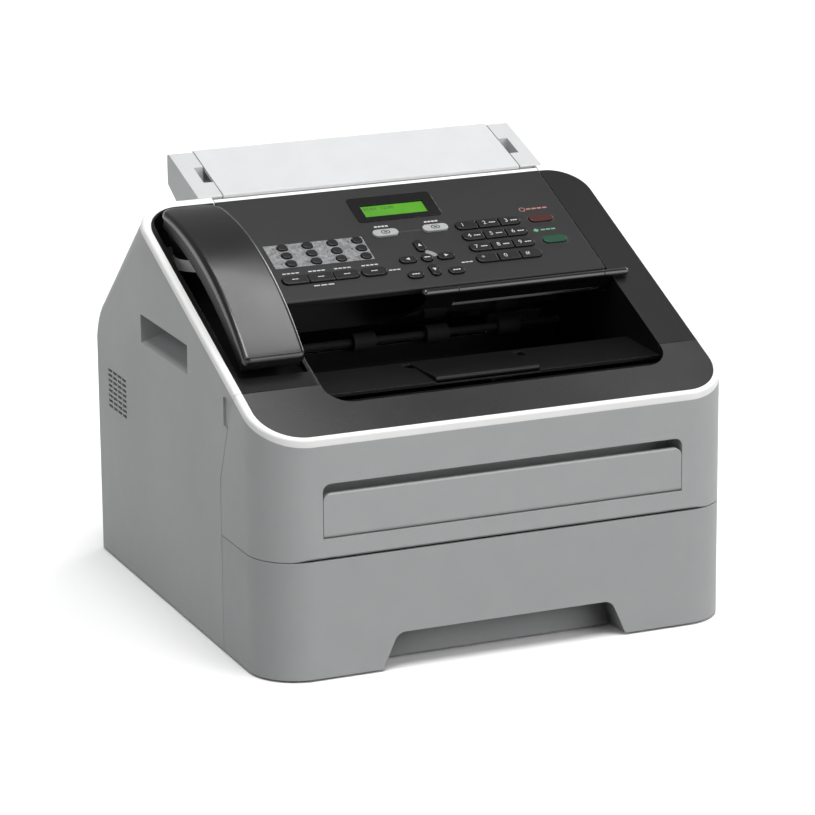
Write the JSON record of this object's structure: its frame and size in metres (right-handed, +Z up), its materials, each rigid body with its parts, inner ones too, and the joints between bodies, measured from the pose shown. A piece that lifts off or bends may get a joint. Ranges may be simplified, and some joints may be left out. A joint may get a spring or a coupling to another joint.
{
  "type": "desktop laser fax machine with handset",
  "caption": "Grey desktop laser fax machine with a sloping black key panel, green display, curved handset at the left, sunk output bin, manual feed door and paper drawer.",
  "frame": {"origin": "on the table, below the middle of the overall outline", "axes": "+X to the machine's right as seen from the front, +Y to its back, +Z up"},
  "size_m": [0.368, 0.36, 0.3145],
  "materials": {
    "grey_casing": "fine-grained moulded casing plastic, mid grey",
    "pale_trim": "smooth white trim plastic",
    "black_panel": "satin black panel plastic",
    "black_gloss": "polished black plastic",
    "dark_key": "dark grey key plastic",
    "pale_key": "light grey key plastic",
    "red_key": "dark red translucent key",
    "green_key": "dark green translucent key",
    "silver_plate": "silvered sheet",
    "ring_metal": "turned bright ring",
    "display_glass": "green liquid crystal display",
    "inner_plastic": "dark inner moulding",
    "frame_plastic": "structural grey moulding",
    "rubber": "black rubber",
    "drum_coat": "coated drum",
    "guide_blue": "blue touch-point plastic"
  },
  "bodies": {
    "base": {"machine_frame": "frame_plastic", "left_side_cover": "grey_casing", "right_side_cover": "grey_casing", "rear_panel": "grey_casing", "rear_sockets": "inner_plastic", "rubber_feet": "rubber", "body_trim": "pale_trim", "drum_cartridge": "inner_plastic", "laser_unit": "inner_plastic", "output_bin": "inner_plastic", "handset_cradle": "black_gloss", "feeder_frame": "grey_casing", "document_exit_tray": "black_panel", "image_sensor": "inner_plastic"},
    "front_cover": {"front_cover": "grey_casing", "front_trim": "pale_trim", "front_top_strip": "black_gloss"},
    "control_panel": {"control_panel": "black_panel", "panel_rear_trim": "pale_trim", "display_window": "black_gloss", "display_screen": "display_glass", "speed_dial_plate": "silver_plate"},
    "handset": {"handset_top_shell": "black_gloss", "handset_bottom_shell": "black_panel", "handset_ring": "ring_metal"},
    "rear_door": {"rear_door": "grey_casing"},
    "power_rocker": {"power_rocker": "black_panel"},
    "manual_feed_door": {"manual_feed_door": "grey_casing"},
    "paper_tray": {"paper_tray": "grey_casing"},
    "lift_plate": {"lift_plate": "silver_plate"},
    "tray_guide_left": {"tray_guide_left": "guide_blue"},
    "tray_guide_right": {"tray_guide_right": "guide_blue"},
    "photo_drum": {"photo_drum": "drum_coat"},
    "fuser_roller": {"fuser_roller": "rubber"},
    "pickup_roller": {"pickup_roller": "rubber"},
    "output_flap": {"output_flap": "inner_plastic"},
    "exit_roller": {"exit_roller": "rubber"},
    "document_support": {"document_support": "grey_casing"},
    "document_guide_left": {"document_guide_left": "inner_plastic"},
    "document_guide_right": {"document_guide_right": "inner_plastic"},
    "document_exit_slide": {"document_exit_slide": "black_panel"},
    "document_roller": {"document_roller": "rubber"},
    "hook_switch": {"hook_switch": "inner_plastic"},
    "dial_row_1": {"dial_row_1": "dark_key"},
    "dial_row_2": {"dial_row_2": "dark_key"},
    "dial_row_3": {"dial_row_3": "dark_key"},
    "dial_row_4": {"dial_row_4": "dark_key"},
    "speed_dial_keys": {"speed_dial_keys": "dark_key"},
    "function_keys": {"function_keys": "dark_key"},
    "fax_mode_key": {"fax_mode_key": "pale_key"},
    "copy_mode_key": {"copy_mode_key": "pale_key"},
    "nav_up_key": {"nav_up_key": "dark_key"},
    "nav_down_key": {"nav_down_key": "dark_key"},
    "nav_left_key": {"nav_left_key": "dark_key"},
    "nav_right_key": {"nav_right_key": "dark_key"},
    "nav_centre_key": {"nav_centre_key": "dark_key"},
    "clear_key": {"clear_key": "dark_key"},
    "menu_key": {"menu_key": "dark_key"},
    "stop_key": {"stop_key": "red_key"},
    "start_key": {"start_key": "green_key"}
  },
  "joints": [
    {"name": "front_cover_hinge", "type": "hinge", "parent": "base", "child": "front_cover", "pos_m": [0, -0.176, 0.0935], "axis": [1, 0, 0], "range_deg": [0, 85]},
    {"name": "manual_door_hinge", "type": "hinge", "parent": "front_cover", "child": "manual_feed_door", "pos_m": [0, -0.1775, 0.1069], "axis": [1, 0, 0], "range_deg": [0, 85]},
    {"name": "paper_tray_slide", "type": "slide", "parent": "base", "child": "paper_tray", "axis": [0, -1, 0], "range_m": [0, 0.25]},
    {"name": "lift_plate_hinge", "type": "hinge", "parent": "paper_tray", "child": "lift_plate", "pos_m": [0, 0.01, 0.0094], "axis": [-1, 0, 0], "range_deg": [0, 5]},
    {"name": "tray_guide_left_slide", "type": "slide", "parent": "paper_tray", "child": "tray_guide_left", "axis": [1, 0, 0], "range_m": [0, 0.031]},
    {"name": "tray_guide_right_slide", "type": "slide", "parent": "paper_tray", "child": "tray_guide_right", "axis": [-1, 0, 0], "range_m": [0, 0.031]},
    {"name": "control_panel_hinge", "type": "hinge", "parent": "base", "child": "control_panel", "pos_m": [0, 0.08464, 0.28599], "axis": [-1, 0, 0], "range_deg": [0, 45]},
    {"name": "document_support_hinge", "type": "hinge", "parent": "base", "child": "document_support", "pos_m": [0, 0.151, 0.30897], "axis": [-1, 0, 0], "range_deg": [0, 140]},
    {"name": "document_guide_left_slide", "type": "slide", "parent": "base", "child": "document_guide_left", "axis": [1, 0, 0], "range_m": [0, 0.031]},
    {"name": "document_guide_right_slide", "type": "slide", "parent": "base", "child": "document_guide_right", "axis": [-1, 0, 0], "range_m": [0, 0.031]},
    {"name": "output_flap_hinge", "type": "hinge", "parent": "base", "child": "output_flap", "pos_m": [0, -0.1235, 0.1932], "axis": [1, 0, 0], "range_deg": [0, 160]},
    {"name": "document_exit_slide_rail", "type": "slide", "parent": "base", "child": "document_exit_slide", "axis": [0, -0.9276, 0.3735], "range_m": [0, 0.04]},
    {"name": "handset_lift", "type": "slide", "parent": "base", "child": "handset", "axis": [0, -0.3954, 0.9185], "range_m": [0, 0.12]},
    {"name": "hook_switch_slide", "type": "slide", "parent": "base", "child": "hook_switch", "axis": [0, -0.3954, 0.9185], "range_m": [0, 0.004]},
    {"name": "rear_door_hinge", "type": "hinge", "parent": "base", "child": "rear_door", "pos_m": [0, 0.177, 0.0405], "axis": [-1, 0, 0], "range_deg": [0, 85]},
    {"name": "power_rocker_pivot", "type": "hinge", "parent": "base", "child": "power_rocker", "pos_m": [0.1795, 0.128, 0.0635], "axis": [0, 0, 1], "range_deg": [0, 10]},
    {"name": "photo_drum_spin", "type": "hinge", "parent": "base", "child": "photo_drum", "pos_m": [0, -0.03, 0.1089], "axis": [1, 0, 0], "continuous": true},
    {"name": "fuser_roller_spin", "type": "hinge", "parent": "base", "child": "fuser_roller", "pos_m": [0, 0.126, 0.1255], "axis": [1, 0, 0], "continuous": true},
    {"name": "pickup_roller_spin", "type": "hinge", "parent": "base", "child": "pickup_roller", "pos_m": [0, -0.084, 0.0815], "axis": [1, 0, 0], "continuous": true},
    {"name": "exit_roller_spin", "type": "hinge", "parent": "base", "child": "exit_roller", "pos_m": [0, 0.046, 0.1795], "axis": [1, 0, 0], "continuous": true},
    {"name": "document_roller_spin", "type": "hinge", "parent": "base", "child": "document_roller", "pos_m": [0, 0.053, 0.2349], "axis": [1, 0, 0], "continuous": true},
    {"name": "dial_row_1_press", "type": "slide", "parent": "control_panel", "child": "dial_row_1", "axis": [0, 0.3954, -0.9185], "range_m": [0, 0.0015], "stiffness_N_per_m": 400, "springref_m": -0.0005},
    {"name": "dial_row_2_press", "type": "slide", "parent": "control_panel", "child": "dial_row_2", "axis": [0, 0.3954, -0.9185], "range_m": [0, 0.0015], "stiffness_N_per_m": 400, "springref_m": -0.0005},
    {"name": "dial_row_3_press", "type": "slide", "parent": "control_panel", "child": "dial_row_3", "axis": [0, 0.3954, -0.9185], "range_m": [0, 0.0015], "stiffness_N_per_m": 400, "springref_m": -0.0005},
    {"name": "dial_row_4_press", "type": "slide", "parent": "control_panel", "child": "dial_row_4", "axis": [0, 0.3954, -0.9185], "range_m": [0, 0.0015], "stiffness_N_per_m": 400, "springref_m": -0.0005},
    {"name": "speed_dial_keys_press", "type": "slide", "parent": "control_panel", "child": "speed_dial_keys", "axis": [0, 0.3954, -0.9185], "range_m": [0, 0.0015], "stiffness_N_per_m": 400, "springref_m": -0.0005},
    {"name": "function_keys_press", "type": "slide", "parent": "control_panel", "child": "function_keys", "axis": [0, 0.3954, -0.9185], "range_m": [0, 0.0015], "stiffness_N_per_m": 400, "springref_m": -0.0005},
    {"name": "fax_mode_key_press", "type": "slide", "parent": "control_panel", "child": "fax_mode_key", "axis": [0, 0.3954, -0.9185], "range_m": [0, 0.0015], "stiffness_N_per_m": 400, "springref_m": -0.0005},
    {"name": "copy_mode_key_press", "type": "slide", "parent": "control_panel", "child": "copy_mode_key", "axis": [0, 0.3954, -0.9185], "range_m": [0, 0.0015], "stiffness_N_per_m": 400, "springref_m": -0.0005},
    {"name": "nav_up_key_press", "type": "slide", "parent": "control_panel", "child": "nav_up_key", "axis": [0, 0.3954, -0.9185], "range_m": [0, 0.0015], "stiffness_N_per_m": 400, "springref_m": -0.0005},
    {"name": "nav_down_key_press", "type": "slide", "parent": "control_panel", "child": "nav_down_key", "axis": [0, 0.3954, -0.9185], "range_m": [0, 0.0015], "stiffness_N_per_m": 400, "springref_m": -0.0005},
    {"name": "nav_left_key_press", "type": "slide", "parent": "control_panel", "child": "nav_left_key", "axis": [0, 0.3954, -0.9185], "range_m": [0, 0.0015], "stiffness_N_per_m": 400, "springref_m": -0.0005},
    {"name": "nav_right_key_press", "type": "slide", "parent": "control_panel", "child": "nav_right_key", "axis": [0, 0.3954, -0.9185], "range_m": [0, 0.0015], "stiffness_N_per_m": 400, "springref_m": -0.0005},
    {"name": "nav_centre_key_press", "type": "slide", "parent": "control_panel", "child": "nav_centre_key", "axis": [0, 0.3954, -0.9185], "range_m": [0, 0.0015], "stiffness_N_per_m": 400, "springref_m": -0.0005},
    {"name": "clear_key_press", "type": "slide", "parent": "control_panel", "child": "clear_key", "axis": [0, 0.3954, -0.9185], "range_m": [0, 0.0015], "stiffness_N_per_m": 400, "springref_m": -0.0005},
    {"name": "menu_key_press", "type": "slide", "parent": "control_panel", "child": "menu_key", "axis": [0, 0.3954, -0.9185], "range_m": [0, 0.0015], "stiffness_N_per_m": 400, "springref_m": -0.0005},
    {"name": "stop_key_press", "type": "slide", "parent": "control_panel", "child": "stop_key", "axis": [0, 0.3954, -0.9185], "range_m": [0, 0.0015], "stiffness_N_per_m": 400, "springref_m": -0.0005},
    {"name": "start_key_press", "type": "slide", "parent": "control_panel", "child": "start_key", "axis": [0, 0.3954, -0.9185], "range_m": [0, 0.0015], "stiffness_N_per_m": 400, "springref_m": -0.0005}
  ],
  "couplings": [
    {"joint": "tray_guide_right_slide", "follows": "tray_guide_left_slide", "ratio": 1},
    {"joint": "document_guide_right_slide", "follows": "document_guide_left_slide", "ratio": 1},
    {"joint": "hook_switch_slide", "follows": "handset_lift", "ratio": 0.033333},
    {"joint": "fuser_roller_spin", "follows": "photo_drum_spin", "ratio": 1},
    {"joint": "exit_roller_spin", "follows": "photo_drum_spin", "ratio": -1.7143}
  ]
}
